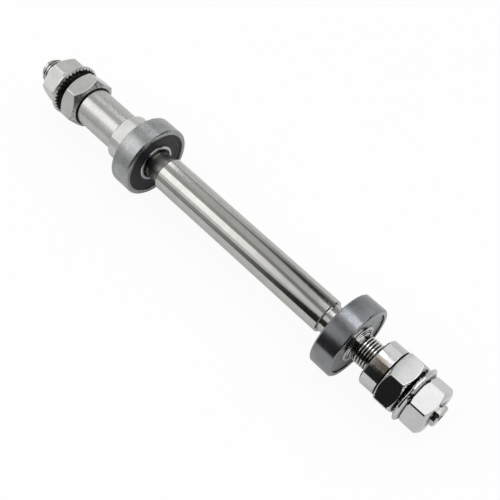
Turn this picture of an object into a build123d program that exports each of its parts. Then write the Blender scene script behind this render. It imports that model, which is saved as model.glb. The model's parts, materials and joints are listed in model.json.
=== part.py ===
from build123d import *
import math
import os

os.makedirs("parts", exist_ok=True)

# A solid axle for the rear hub of a bicycle, with everything that stays on it when the
# wheel is lifted out: two sealed bearings, spacers, locknuts and the nuts that clamp the
# frame. The axle lies along Y with its sprocket side (drive side) at -Y and +Z up.
# The origin is on the axle's centre line, midway between its two ends. Millimetres.

# Axle
axle_length = 180.6
thread_step = 0.25
shoulder_step = 0.9
bar_chamfer = 0.4
tip_step = 1.1
tip_length = 1.6
tip_chamfer = 0.4
thread_end_chamfer = 0.35
drive_stub = 6.05
non_drive_stub = 1.75
centre_hole_diameter = 3.2
centre_drill_diameter = 1.4
centre_drill_depth = 3.6

# Bearings, both of one size. The shares are of the height from the bore to the outside.
bearing_bore = 10.0
bearing_diameter = 26.0
width_share = 1.0
ball_count = 7
ball_diameter_share = 0.59525
groove_conformity = 0.515
land_share = 0.2
lip_land_share = 0.0875
recess_share = 0.0875
snap_share = 0.03125
seal_depth_share = 0.13125
ring_chamfer = 0.5
bore_chamfer = 0.3
mouth_bevel = 0.15
ball_play = 0.03
lip_clearance = 0.08
seal_share = 0.075
shield_share = 0.05
cover_play = 0.02
cover_rise = 0.15
lip_width = 0.6
cage_sheet_share = 0.04375
cage_width_share = 0.3
pocket_play = 0.08
rivet_diameter = 0.8
rivet_head_step = 0.3
rivet_head_height = 0.25
drive_shoulder_gap = 5.8
non_drive_shoulder_gap = 4.3

# Round nut that holds the drive-side bearing, with two flats for a spanner
bearing_nut_diameter = 17.0
bearing_nut_flats = 15.0
bearing_nut_length = 7.5
bearing_nut_chamfer = 0.5
bearing_nut_turn = 80.9

# Plain spacer sleeve on the drive side
sleeve_diameter = 14.0
sleeve_length = 18.1
sleeve_chamfer = 0.5

# Round end nut on the other side, and how far it stands off its bearing
end_nut_diameter = 16.2
end_nut_length = 6.1
end_nut_chamfer = 0.5
end_nut_standoff = 7.2

# Hexagon locknuts
locknut_flats = 17.0
locknut_length = 7.0
drive_locknut_relief = 0.9
drive_locknut_turn = 5.9
non_drive_locknut_turn = 13.2

# Track nuts, each with its own toothed washer held on a collar
track_nut_flats = 15.0
hexagon_height = 6.6
drive_track_nut_turn = 28.6
non_drive_track_nut_turn = 56.9
washer_diameter = 19.0
washer_rim = 1.35
washer_slope_height = 1.0
washer_slope_width = 1.55
bevel_width_share = 0.5
bevel_height_share = 0.6
seat_face_step = 0.45
collar_share = 0.3191
collar_play = 0.1
recess_width = 0.7
recess_depth = 1.0
swage_height = 0.5
swage_width = 0.5
washer_play = 0.05
tooth_count = 36
tooth_depth = 0.5
tooth_inset = 0.3
drive_dropout_gap = 2.15
non_drive_dropout_gap = 0.45

# Shared by the nuts
nut_chamfer_angle = 38.0
nut_face_relief = 0.25
thread_play = 0.05
thread_entry = 0.3

# Radii that follow from the sizes above
axle_end = axle_length / 2
journal_radius = bearing_bore / 2
thread_radius = journal_radius - thread_step
tip_radius = thread_radius - tip_step
bar_radius = journal_radius + shoulder_step
nut_bore_radius = thread_radius + thread_play
ring_radius = bearing_diameter / 2
ring_height = ring_radius - journal_radius
half_width = width_share * ring_height / 2
ball_circle = (journal_radius + ring_radius) / 2
ball_radius = ball_diameter_share * ring_height / 2
pocket_radius = ball_radius + pocket_play
cage_sheet = cage_sheet_share * ring_height
cage_width = cage_width_share * ring_height
groove_radius = 2 * groove_conformity * ball_radius
inner_land = ball_circle - land_share * ring_height
outer_land = ball_circle + land_share * ring_height
lip_land = inner_land - lip_land_share * ring_height
recess_radius = outer_land + recess_share * ring_height
snap_radius = recess_radius + snap_share * ring_height
seal_seat = half_width - seal_depth_share * ring_height
seal_thickness = seal_share * ring_height
shield_thickness = shield_share * ring_height
washer_radius = washer_diameter / 2
collar_radius = nut_bore_radius + collar_share * (washer_radius - nut_bore_radius)
washer_bore = collar_radius + collar_play
washer_recess = washer_bore + recess_width
washer_height = washer_rim + washer_slope_height
washer_top = washer_radius - washer_slope_width
tooth_outer = washer_radius - bevel_width_share * (washer_radius - washer_recess)
bevel_height = bevel_height_share * washer_rim
seat_face_radius = track_nut_flats / 2 + seat_face_step
hexagon_seat = washer_height + washer_play
track_nut_height = hexagon_seat + hexagon_height

# Stations along Y, from each end of the axle inwards
drive_washer_face = -axle_end + drive_stub + track_nut_height
drive_locknut_outer = drive_washer_face + drive_dropout_gap
drive_locknut_inner = drive_locknut_outer + locknut_length
drive_sleeve_face = drive_locknut_inner + sleeve_length
drive_bearing_face = drive_sleeve_face + bearing_nut_length
drive_bearing_station = drive_bearing_face + half_width
drive_shoulder = drive_bearing_station + half_width + drive_shoulder_gap
non_drive_washer_face = axle_end - non_drive_stub - track_nut_height
non_drive_locknut_outer = non_drive_washer_face - non_drive_dropout_gap
non_drive_locknut_inner = non_drive_locknut_outer - locknut_length
end_nut_inner = non_drive_locknut_inner - end_nut_length
non_drive_bearing_face = end_nut_inner - end_nut_standoff
non_drive_bearing_station = non_drive_bearing_face - half_width
non_drive_shoulder = non_drive_bearing_station - half_width - non_drive_shoulder_gap


def across(station):
    """The plane across the axle at a station, seen so that a sketch's Y is +Z."""
    return Plane.XZ.offset(-station)


def along(station):
    """The plane for a turned profile: X is the radius and Y runs along the axle."""
    return Plane((0, station, 0))


def keep(piece, name, station=0.0):
    """Set a finished piece at its station along the axle, label it and write it."""
    solid = piece.part.moved(Location((0, station, 0)))
    solid.label = name
    export_step(solid, f"parts/{name}.step")


def rims(piece, radius):
    """The circular edges of one radius, from the drive side to the other."""
    circles = piece.edges().filter_by(GeomType.CIRCLE)
    return circles.filter_by(lambda edge: abs(edge.radius - radius) < 1e-6).sort_by(Axis.Y)


# The axle, turned from one bar: thin tips, threads, bearing journals and the thick middle.
# edge_left is what the journals' chamfer, nearly as high as their step, leaves of its face.
thread_end = axle_end - tip_length
edge_left = 0.01
with BuildPart() as axle_shaft:
    for start, end, radius in (
        (-axle_end, axle_end, tip_radius),
        (-thread_end, thread_end, thread_radius),
        (drive_bearing_face, non_drive_bearing_face, journal_radius),
        (drive_shoulder, non_drive_shoulder, bar_radius),
    ):
        with BuildSketch(across(end)):
            Circle(radius)
        extrude(amount=end - start)
    for radius, size in (
        (tip_radius, tip_chamfer),
        (thread_radius, thread_end_chamfer),
        (journal_radius, thread_step - edge_left),
        (bar_radius, bar_chamfer),
    ):
        steps = rims(axle_shaft, radius)
        chamfer([steps[0], steps[-1]], size)
    # Centre holes from the lathe, a cone with a short drilled hole behind it
    mouth = centre_hole_diameter / 2
    drill = centre_drill_diameter / 2
    cone_depth = (mouth - drill) * math.sqrt(3)
    for side in (-1, 1):
        with BuildSketch(along(side * axle_end)):
            with BuildLine():
                Polyline(
                    (0, 0),
                    (mouth, 0),
                    (drill, -side * cone_depth),
                    (drill, -side * centre_drill_depth),
                    (0, -side * centre_drill_depth),
                    close=True,
                )
            make_face()
        revolve(axis=Axis.Y, mode=Mode.SUBTRACT)
keep(axle_shaft, "axle_shaft")


def bore_profile(start, end):
    """Half the section of a nut's threaded hole, with a countersink at both mouths."""
    with BuildSketch(along(start)) as profile:
        with BuildLine():
            Polyline(
                (0, 0),
                (nut_bore_radius + thread_entry, 0),
                (nut_bore_radius, thread_entry),
                (nut_bore_radius, end - start - thread_entry),
                (nut_bore_radius + thread_entry, end - start),
                (0, end - start),
                close=True,
            )
        make_face()
    return profile.sketch


def hexagon_limit(flats, start, end, start_face):
    """Half the section a hexagon nut is turned to, so that its corners fall away in cones.

    The flat faces left are a circle of start_face at start, and nearly the flats' at end.
    """
    corner = flats / math.sqrt(3) + nut_face_relief
    face = flats / 2 - nut_face_relief
    slope = math.tan(math.radians(nut_chamfer_angle))
    out = math.copysign(1, end - start)
    with BuildSketch(Plane.XY) as profile:
        with BuildLine():
            Polyline(
                (0, start),
                (start_face, start),
                (corner, start + out * (corner - start_face) * slope),
                (corner, end - out * (corner - face) * slope),
                (face, end),
                (0, end),
                close=True,
            )
        make_face()
    return profile.sketch


def locknut(inner, outer, inner_relief, turn):
    """A thin hexagon nut with both faces bevelled, turned by an angle from +X towards +Z.

    inner_relief is how far the face towards the wheel falls short of the flats.
    """
    with BuildPart() as nut:
        with BuildSketch(across(outer)):
            RegularPolygon(locknut_flats / 2, 6, major_radius=False, rotation=turn)
        extrude(amount=outer - inner)
        inner_face = locknut_flats / 2 - inner_relief
        limit = hexagon_limit(locknut_flats, inner, outer, inner_face)
        revolve(limit, axis=Axis.Y, mode=Mode.INTERSECT)
        bore = bore_profile(min(inner, outer), max(inner, outer))
        revolve(bore, axis=Axis.Y, mode=Mode.SUBTRACT)
    return nut


keep(
    locknut(drive_locknut_inner, drive_locknut_outer, drive_locknut_relief, drive_locknut_turn),
    "drive_locknut",
)
keep(
    locknut(
        non_drive_locknut_inner,
        non_drive_locknut_outer,
        nut_face_relief,
        non_drive_locknut_turn,
    ),
    "non_drive_locknut",
)

# Drive-side spacer sleeve, a plain tube that slides over the thread
with BuildPart() as spacer_sleeve:
    with BuildSketch(across(drive_sleeve_face)):
        Circle(sleeve_diameter / 2)
        Circle(nut_bore_radius, mode=Mode.SUBTRACT)
    extrude(amount=sleeve_length)
    chamfer(rims(spacer_sleeve, sleeve_diameter / 2), sleeve_chamfer)
keep(spacer_sleeve, "drive_spacer_sleeve")

# Drive-side bearing nut: round, with two flats milled for a thin spanner
with BuildPart() as bearing_nut:
    with BuildSketch(across(drive_bearing_face)):
        Circle(bearing_nut_diameter / 2)
    extrude(amount=bearing_nut_length)
    chamfer(rims(bearing_nut, bearing_nut_diameter / 2), bearing_nut_chamfer)
    with BuildSketch(across(drive_bearing_face)):
        Rectangle(bearing_nut_flats, 2 * bearing_nut_diameter, rotation=bearing_nut_turn)
    extrude(amount=bearing_nut_length, mode=Mode.INTERSECT)
    bore = bore_profile(drive_sleeve_face, drive_bearing_face)
    revolve(bore, axis=Axis.Y, mode=Mode.SUBTRACT)
keep(bearing_nut, "drive_bearing_nut")

# Round end nut on the other side
with BuildPart() as end_nut:
    with BuildSketch(across(non_drive_locknut_inner)):
        Circle(end_nut_diameter / 2)
    extrude(amount=end_nut_length)
    chamfer(rims(end_nut, end_nut_diameter / 2), end_nut_chamfer)
    bore = bore_profile(end_nut_inner, non_drive_locknut_inner)
    revolve(bore, axis=Axis.Y, mode=Mode.SUBTRACT)
keep(end_nut, "non_drive_end_nut")


def toothed_washer(face, out):
    """A washer with radial teeth on the face that grips the frame, and both sides sloping.

    face is the station of the tooth tips, and out is the way from the wheel, -1 or 1.
    """
    tooth_inner = washer_recess + tooth_inset
    gap_reach = tooth_inner * math.tan(math.pi / tooth_count)
    with BuildPart() as washer:
        with BuildSketch(along(face)):
            with BuildLine():
                Polyline(
                    (washer_recess, 0),
                    (tooth_outer, 0),
                    (washer_radius, out * bevel_height),
                    (washer_radius, out * washer_rim),
                    (washer_top, out * washer_height),
                    (washer_bore, out * washer_height),
                    (washer_bore, out * recess_depth),
                    (washer_recess, out * recess_depth),
                    close=True,
                )
            make_face()
        revolve(axis=Axis.Y)
        # V-shaped gaps between the teeth, cut from the recess out through the rim's bevel
        gap_planes = []
        for index in range(tooth_count):
            angle = 2 * math.pi * index / tooth_count
            radial = Vector(math.cos(angle), 0, math.sin(angle))
            origin = radial * tooth_inner + Vector(0, face, 0)
            gap_planes.append(Plane(origin, x_dir=(0, out, 0), z_dir=radial))
        with BuildSketch(*gap_planes):
            with BuildLine():
                Polyline((0, -gap_reach), (tooth_depth, 0), (0, gap_reach), close=True)
            make_face()
        extrude(amount=washer_radius, mode=Mode.SUBTRACT)
    return washer


def track_nut(face, out, turn):
    """A hexagon nut whose collar passes through the washer and is swaged out behind it."""
    seat = face + out * hexagon_seat
    end = face + out * track_nut_height
    swage = face + out * (recess_depth - washer_play)
    lip = swage - out * swage_height
    with BuildPart() as nut:
        with BuildSketch(across(end)):
            RegularPolygon(track_nut_flats / 2, 6, major_radius=False, rotation=turn)
        extrude(amount=end - seat)
        limit = hexagon_limit(track_nut_flats, seat, end, seat_face_radius)
        revolve(limit, axis=Axis.Y, mode=Mode.INTERSECT)
        with BuildSketch(Plane.XY):
            with BuildLine():
                Polyline(
                    (0, lip),
                    (collar_radius + swage_width, lip),
                    (collar_radius, swage),
                    (collar_radius, seat),
                    (0, seat),
                    close=True,
                )
            make_face()
        revolve(axis=Axis.Y)
        revolve(bore_profile(min(lip, end), max(lip, end)), axis=Axis.Y, mode=Mode.SUBTRACT)
    return nut


keep(toothed_washer(drive_washer_face, -1), "drive_toothed_washer")
keep(track_nut(drive_washer_face, -1, drive_track_nut_turn), "drive_track_nut")
keep(toothed_washer(non_drive_washer_face, 1), "non_drive_toothed_washer")
keep(track_nut(non_drive_washer_face, 1, non_drive_track_nut_turn), "non_drive_track_nut")


# The pieces of a bearing, made round the origin and set at their station afterwards
def outer_ring():
    groove_bottom = ball_circle + ball_radius + ball_play
    groove_edge = math.sqrt(groove_radius**2 - (outer_land - groove_bottom + groove_radius) ** 2)
    with BuildPart() as ring:
        with BuildSketch(Plane.XY):
            with BuildLine():
                Polyline(
                    (ring_radius, 0),
                    (ring_radius, half_width - ring_chamfer),
                    (ring_radius - ring_chamfer, half_width),
                    (recess_radius + mouth_bevel, half_width),
                    (recess_radius, half_width - mouth_bevel),
                    (recess_radius, half_width - 2 * mouth_bevel),
                    (snap_radius, half_width - 2 * mouth_bevel - snap_share * ring_height),
                    (snap_radius, seal_seat),
                    (outer_land, seal_seat),
                    (outer_land, groove_edge),
                )
                RadiusArc((outer_land, groove_edge), (groove_bottom, 0), groove_radius)
                mirror(about=Plane.XZ)
            make_face()
        revolve(axis=Axis.Y)
    return ring


def inner_ring():
    groove_bottom = ball_circle - ball_radius - ball_play
    groove_edge = math.sqrt(groove_radius**2 - (groove_bottom + groove_radius - inner_land) ** 2)
    shoulder = seal_seat - 2 * lip_clearance
    with BuildPart() as ring:
        with BuildSketch(Plane.XY):
            with BuildLine():
                Polyline(
                    (journal_radius, 0),
                    (journal_radius, half_width - bore_chamfer),
                    (journal_radius + bore_chamfer, half_width),
                    (lip_land - mouth_bevel, half_width),
                    (lip_land, half_width - mouth_bevel),
                    (lip_land, shoulder),
                    (inner_land, shoulder),
                    (inner_land, groove_edge),
                )
                RadiusArc((inner_land, groove_edge), (groove_bottom, 0), -groove_radius)
                mirror(about=Plane.XZ)
            make_face()
        revolve(axis=Axis.Y)
    return ring


def rubber_seal(out):
    """A moulded ring with a bead in the outer ring's groove and a lip on the inner ring."""
    bead = snap_radius - cover_play
    lip = lip_land + lip_clearance
    back = seal_seat + cover_play
    front = back + seal_thickness
    with BuildPart() as seal:
        with BuildSketch(Plane.XY):
            with BuildLine():
                Polyline(
                    (bead, out * back),
                    (bead, out * (front - cover_rise)),
                    (recess_radius - cover_play, out * (front + cover_rise)),
                    (outer_land + cover_rise, out * (front + cover_rise)),
                    (outer_land, out * front),
                    (lip + lip_width + cover_rise, out * front),
                    (lip + lip_width, out * (front + cover_rise)),
                    (lip, out * (front + cover_rise)),
                    (lip, out * (front - cover_rise)),
                    (lip + lip_width, out * back),
                    close=True,
                )
            make_face()
        revolve(axis=Axis.Y)
    return seal


def steel_shield(out):
    """A pressed disc, curled into the outer ring's groove and dished towards the balls."""
    bead = snap_radius - cover_play
    lip = lip_land + lip_clearance
    back = seal_seat + cover_play
    front = back + shield_thickness
    with BuildPart() as shield:
        with BuildSketch(Plane.XY):
            with BuildLine():
                Polyline(
                    (bead, out * back),
                    (bead, out * front),
                    (recess_radius - cover_rise, out * (front + cover_rise)),
                    (outer_land, out * (front + cover_rise)),
                    (outer_land - lip_width, out * front),
                    (lip, out * front),
                    (lip, out * back),
                    (outer_land - lip_width + cover_rise, out * back),
                    (outer_land + cover_rise, out * (back + cover_rise)),
                    (recess_radius - 2 * cover_rise, out * (back + cover_rise)),
                    (recess_radius - cover_rise, out * back),
                    close=True,
                )
            make_face()
        revolve(axis=Axis.Y)
    return shield


def ball_set():
    with BuildPart(Plane.XZ) as balls:
        with PolarLocations(ball_circle, ball_count):
            Sphere(ball_radius)
    return balls


def cage_half(out):
    """Half of a pressed ribbon cage: a flat ring with a round pocket over each ball."""
    with BuildSketch(Plane.XZ) as ribbon:
        Circle(ball_circle + cage_width / 2)
        Circle(ball_circle - cage_width / 2, mode=Mode.SUBTRACT)
    with BuildPart(Plane.XZ) as cage:
        extrude(ribbon.sketch, amount=-out * cage_sheet)
        with PolarLocations(ball_circle, ball_count):
            Sphere(pocket_radius + cage_sheet)
        extrude(ribbon.sketch, amount=-out * (pocket_radius + cage_sheet), mode=Mode.INTERSECT)
        with PolarLocations(ball_circle, ball_count):
            Sphere(pocket_radius, mode=Mode.SUBTRACT)
        with PolarLocations(ball_circle, ball_count, start_angle=180 / ball_count):
            Cylinder(rivet_diameter / 2, pocket_radius, mode=Mode.SUBTRACT)
    return cage


def rivet_set():
    """The rivets between the balls that hold the two halves of a cage together."""
    head_place = cage_sheet + rivet_head_height / 2
    with BuildPart(Plane.XZ) as rivets:
        with PolarLocations(ball_circle, ball_count, start_angle=180 / ball_count):
            Cylinder(rivet_diameter / 2, 2 * cage_sheet)
            with Locations((0, 0, head_place), (0, 0, -head_place)):
                Cylinder(rivet_diameter / 2 + rivet_head_step, rivet_head_height)
    return rivets


for prefix, station, outboard, closure in (
    ("drive_bearing", drive_bearing_station, -1, "seal"),
    ("non_drive_bearing", non_drive_bearing_station, 1, "shield"),
):
    keep(outer_ring(), f"{prefix}_outer_ring", station)
    keep(inner_ring(), f"{prefix}_inner_ring", station)
    keep(ball_set(), f"{prefix}_balls", station)
    keep(rivet_set(), f"{prefix}_cage_rivets", station)
    for side, out in (("outboard", outboard), ("inboard", -outboard)):
        cover = rubber_seal(out) if closure == "seal" else steel_shield(out)
        keep(cover, f"{prefix}_{side}_{closure}", station)
        keep(cage_half(out), f"{prefix}_{side}_cage_half", station)
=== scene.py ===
import json
import math

import bmesh
import bpy
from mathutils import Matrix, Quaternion, Vector


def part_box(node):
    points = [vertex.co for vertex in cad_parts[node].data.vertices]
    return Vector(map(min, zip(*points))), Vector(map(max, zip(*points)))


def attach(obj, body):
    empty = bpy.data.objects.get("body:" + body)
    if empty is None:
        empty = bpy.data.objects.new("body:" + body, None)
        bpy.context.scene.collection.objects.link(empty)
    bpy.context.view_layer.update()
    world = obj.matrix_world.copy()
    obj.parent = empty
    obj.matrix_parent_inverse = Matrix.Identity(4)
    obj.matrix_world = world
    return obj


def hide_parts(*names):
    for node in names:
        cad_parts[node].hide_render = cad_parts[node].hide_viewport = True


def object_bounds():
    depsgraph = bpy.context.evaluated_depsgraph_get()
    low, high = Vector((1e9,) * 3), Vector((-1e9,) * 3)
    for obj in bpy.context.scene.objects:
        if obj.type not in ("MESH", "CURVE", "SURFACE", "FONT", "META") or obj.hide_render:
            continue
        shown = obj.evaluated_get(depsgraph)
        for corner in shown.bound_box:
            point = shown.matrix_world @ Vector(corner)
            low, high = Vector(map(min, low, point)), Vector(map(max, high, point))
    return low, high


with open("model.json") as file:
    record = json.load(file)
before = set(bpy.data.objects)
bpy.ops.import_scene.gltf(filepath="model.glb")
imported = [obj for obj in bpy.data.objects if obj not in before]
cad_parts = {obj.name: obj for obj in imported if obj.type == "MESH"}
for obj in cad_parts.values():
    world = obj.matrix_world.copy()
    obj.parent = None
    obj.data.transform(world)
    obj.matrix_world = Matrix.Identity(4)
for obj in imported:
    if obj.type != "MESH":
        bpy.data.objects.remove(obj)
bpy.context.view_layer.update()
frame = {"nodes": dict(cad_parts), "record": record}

# The axle lies along Y. Sizes below are in metres, and every station comes from the frame.
MM = 0.001

# Axle
THREAD_RADIUS = 4.75 * MM
THREAD_DEPTH = 0.58 * MM
THREAD_PITCH = 0.977 * MM
THREAD_FADE = 1.2 * MM
TIP_RADIUS = 3.65 * MM
TIP_LENGTH = 1.6 * MM
TIP_CHAMFER = 0.4 * MM
THREAD_END_CHAMFER = 0.35 * MM
THREAD_END_FACE = 0.05 * MM
JOURNAL_RADIUS = 5.0 * MM
JOURNAL_CHAMFER = 0.24 * MM
BAR_RADIUS = 5.9 * MM
BAR_CHAMFER = 0.4 * MM
DRIVE_SHOULDER_GAP = 5.8 * MM
OTHER_SHOULDER_GAP = 4.3 * MM
CENTRE_MOUTH = 1.6 * MM
CENTRE_DRILL = 0.7 * MM
CENTRE_CONE_DEPTH = 1.559 * MM
CENTRE_DEPTH = 3.6 * MM

# The thread's section over one pitch: places along it, and heights from root to crest
THREAD_PHASES = (0.0, 0.1, 0.28, 0.46, 0.70, 0.85)
THREAD_HEIGHTS = (0.0, 0.0, 0.5, 1.0, 1.0, 0.5)

# The way out from the wheel, along Y, on either side
DRIVE_OUT = -1
OTHER_OUT = 1

# Nuts and spacers. Turns are in degrees from +X towards +Z: where a corner points on a
# hexagon, and where a flat faces on the bearing nut.
NUT_BORE = 4.8 * MM
THREAD_ENTRY = 0.3 * MM
HEXAGON_SLOPE = math.tan(math.radians(38.0))
FACE_RELIEF = 0.25 * MM
DRIVE_LOCKNUT_RELIEF = 0.9 * MM
CORNER_ROUNDING = 0.7 * MM
LOCKNUT_HALF_FLATS = 8.5 * MM
TRACK_NUT_HALF_FLATS = 7.5 * MM
NUT_TURN = {
    "drive_locknut": 5.9,
    "non_drive_locknut": 13.2,
    "drive_track_nut": 28.6,
    "non_drive_track_nut": 56.9,
}
BEARING_NUT_RADIUS = 8.5 * MM
BEARING_NUT_HALF_FLATS = 7.5 * MM
BEARING_NUT_TURN = 80.9
ROUND_CHAMFER = 0.5 * MM
SLEEVE_CHAMFER = 0.5 * MM

# Toothed washers and the collars that carry them. JUST_INSIDE is a small step, for the
# steep inner ends of the gaps and for telling their polygons apart.
WASHER_RIM = 1.35 * MM
WASHER_HEIGHT = 2.35 * MM
WASHER_TOP = 7.95 * MM
WASHER_BORE = 6.4 * MM
WASHER_RECESS = 7.1 * MM
RECESS_DEPTH = 1.0 * MM
COLLAR_RADIUS = 6.3 * MM
HEXAGON_SEAT = 2.4 * MM
SWAGE_PLACE = 0.95 * MM
SWAGE_HEIGHT = 0.5 * MM
SWAGE_WIDTH = 0.5 * MM
TOOTH_COUNT = 36
TOOTH_INNER = 7.4 * MM
TOOTH_OUTER = 8.3 * MM
TOOTH_DEPTH = 0.5 * MM
JUST_INSIDE = 0.02 * MM
BEVEL_HEIGHT = 0.81 * MM

# Bearings
RING_CHAMFER = 0.5 * MM
BORE_CHAMFER = 0.3 * MM
MOUTH_BEVEL = 0.15 * MM
OUTER_LAND = 10.6 * MM
INNER_LAND = 7.4 * MM
LIP_LAND = 6.7 * MM
RECESS_RADIUS = 11.3 * MM
SNAP_RADIUS = 11.55 * MM
SEAL_DEPTH = 1.05 * MM
BALL_CIRCLE = 9.0 * MM
BALL_RADIUS = 2.381 * MM
GROOVE_RADIUS = 2.453 * MM
BALL_PLAY = 0.03 * MM
COVER_PLAY = 0.02 * MM
LIP_CLEARANCE = 0.08 * MM
SEAL_THICKNESS = 0.6 * MM
SHIELD_THICKNESS = 0.4 * MM
COVER_STEP = 0.15 * MM
SEAL_LIP_WIDTH = 0.6 * MM
SEAL_RIB_OUTSIDE = 9.6 * MM
SEAL_RIB_INSIDE = 9.1 * MM
SEAL_RIB_SLOPE = 0.1 * MM
SEAL_RIB_HEIGHT = 0.08 * MM
SHIELD_SLOPE = 0.6 * MM

# Radii where painted shade begins or ends: in the washers' gaps and gripping sides, on the
# washers' slopes and on the inner rings' faces
DRIVE_SHADE_REACH = 8.65 * MM
OTHER_SHADE_REACH = 8.5 * MM
SHADE_EDGE_WAVE = 0.15 * MM
DRIVE_DARK_GAPS = 9.2 * MM
OTHER_DARK_GAPS = 8.45 * MM
WASHER_DARK_TO = 8.2 * MM
WASHER_BRIGHT_FROM = 8.9 * MM
RACE_DARK_TO = 5.7 * MM
RACE_BRIGHT_FROM = 5.95 * MM

# How squarely a surface faces along the axle, as the Y of its normal
FLAT_FACING = 0.95
END_FACING = 0.7
CONE_FACING = 0.6
CHAMFER_FACING = 0.5

# Surfaces. Scales of noise are in 1/m. Blender's wave texture repeats every pi/10 of its
# scaled length. A noise texture's values lie mostly within NOISE_SPREAD.
NOISE_SPREAD = (0.3, 0.7)
MOTTLE_SCALE = 260.0
GRAIN_SCALE = 1200.0
SHADE_EDGE_SCALE = 900.0
SPECK_SCALE = 1700.0
DUST_SCALE = 500.0
WAVE_PERIOD = math.pi / 10
METAL_MARK_SPACING = 0.377 * MM
RUBBER_MARK_SPACING = 1.1 * MM
MARK_DEPTH = 0.02 * MM
GRIT_DEPTH = 0.004 * MM
SHADE_BLACK = (0.012, 0.012, 0.011)
DRIVE_SPECK_GREY = 0.30
OTHER_SPECK_GREY = 0.04

# Mesh fineness. Edges over SHARP_ANGLE are rounded, and what is still over SHADING_ANGLE
# stays sharp in the shading.
SIDES = 96
FLAT_STEPS = 10
CORNER_STEPS = 6
RING_SIDES = 144
FINE_EDGE = 0.03 * MM
SMALL_EDGE = 0.06 * MM
NUT_EDGE = 0.20 * MM
RING_EDGE = 0.10 * MM
SHARP_ANGLE = math.radians(24)
SHADING_ANGLE = math.radians(32)
WELD = 1e-7

scene = bpy.context.scene

body_of = {}
for body, members in frame["record"]["behaviour"]["bodies"].items():
    for member in members:
        body_of[member] = body


def span(node):
    """The stations of a node's two ends along the axle."""
    low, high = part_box(node)
    return low.y, high.y


def circle(radius, station, sides=RING_SIDES):
    """One loop of points round the axle."""
    points = []
    for index in range(sides):
        angle = 2 * math.pi * index / sides
        points.append((radius * math.cos(angle), station, radius * math.sin(angle)))
    return points


def skin(loops, closed):
    """Points and faces of a surface through loops of equal length."""
    count = len(loops[0])
    points = [point for loop in loops for point in loop]
    faces = []
    last = len(loops) if closed else len(loops) - 1
    for row in range(last):
        near = row * count
        far = (row + 1) % len(loops) * count
        for index in range(count):
            after = (index + 1) % count
            faces.append((near + index, near + after, far + after, far + index))
    return points, faces


def make_piece(node, points, faces, material, edge=SMALL_EDGE):
    """A mesh piece that stands for a CAD node, with its hard edges slightly rounded.

    It rides the node's body, hides the node and takes the given material.
    """
    work = bmesh.new()
    corners = [work.verts.new(point) for point in points]
    for face in faces:
        work.faces.new([corners[index] for index in face])
    bmesh.ops.remove_doubles(work, verts=work.verts, dist=WELD)
    bmesh.ops.recalc_face_normals(work, faces=work.faces)
    if edge:
        hard = [e for e in work.edges if e.is_manifold and e.calc_face_angle() > SHARP_ANGLE]
        bmesh.ops.bevel(
            work,
            geom=hard,
            offset=edge,
            offset_type="OFFSET",
            segments=2,
            profile=0.5,
            affect="EDGES",
            clamp_overlap=True,
        )
    mesh = bpy.data.meshes.new(f"{node}_form")
    work.to_mesh(mesh)
    work.free()
    mesh.polygons.foreach_set("use_smooth", [True] * len(mesh.polygons))
    mesh.set_sharp_from_angle(angle=SHADING_ANGLE)
    mesh.materials.append(material)
    piece = bpy.data.objects.new(f"{node}_form", mesh)
    scene.collection.objects.link(piece)
    even = piece.modifiers.new("even_normals", "WEIGHTED_NORMAL")
    even.keep_sharp = True
    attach(piece, body_of[node])
    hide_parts(node)
    return piece


def turned(node, profile, material, edge=SMALL_EDGE):
    """A ring turned from a closed profile of (radius, station) points."""
    loops = [circle(radius, station) for radius, station in profile]
    points, faces = skin(loops, closed=True)
    return make_piece(node, points, faces, material, edge)


def add(tree, kind, **settings):
    """A shader node with its properties and inputs set by name."""
    node = tree.nodes.new(kind)
    for name, value in settings.items():
        if name in node.inputs:
            node.inputs[name].default_value = value
        else:
            setattr(node, name, value)
    return node


def new_shader(name):
    """An empty material with a Principled shader."""
    material = bpy.data.materials.new(name)
    material.use_nodes = True
    tree = material.node_tree
    return material, tree, tree.nodes["Principled BSDF"]


def noise(tree, scale, **settings):
    """Noise over the place on the piece, with a scale in 1/m."""
    place = add(tree, "ShaderNodeTexCoord")
    mapping = add(tree, "ShaderNodeMapping")
    mapping.inputs["Scale"].default_value = (scale, scale, scale)
    texture = add(tree, "ShaderNodeTexNoise", Scale=1.0, **settings)
    tree.links.new(place.outputs["Object"], mapping.inputs["Vector"])
    tree.links.new(mapping.outputs["Vector"], texture.inputs["Vector"])
    return texture.outputs["Fac"]


def remap(tree, value, source, target=(0, 1), **settings):
    """A value carried from one range over to another, and held at its ends."""
    node = add(tree, "ShaderNodeMapRange", **settings)
    node.inputs["From Min"].default_value = source[0]
    node.inputs["From Max"].default_value = source[1]
    node.inputs["To Min"].default_value = target[0]
    node.inputs["To Max"].default_value = target[1]
    tree.links.new(value, node.inputs["Value"])
    return node.outputs["Result"]


def arithmetic(tree, operation, first, second):
    """A math node over two values, either of which may be a number."""
    node = add(tree, "ShaderNodeMath", operation=operation)
    for socket, value in zip(node.inputs, (first, second)):
        if isinstance(value, (int, float)):
            socket.default_value = value
        else:
            tree.links.new(value, socket)
    return node.outputs["Value"]


def bump(tree, height, strength, depth):
    """A bump node over a height, for marks as deep as depth at full strength."""
    node = add(tree, "ShaderNodeBump", Strength=strength, Distance=depth)
    tree.links.new(height, node.inputs["Height"])
    return node


def ramp(tree, value, stops):
    """A colour ramp over a value, from (position, colour) stops."""
    node = add(tree, "ShaderNodeValToRGB")
    elements = node.color_ramp.elements
    while len(elements) < len(stops):
        elements.new(0.5)
    for element, (position, colour) in zip(elements, stops):
        element.position = position
        element.color = (*colour, 1)
    tree.links.new(value, node.inputs["Fac"])
    return node.outputs["Color"]


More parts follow.
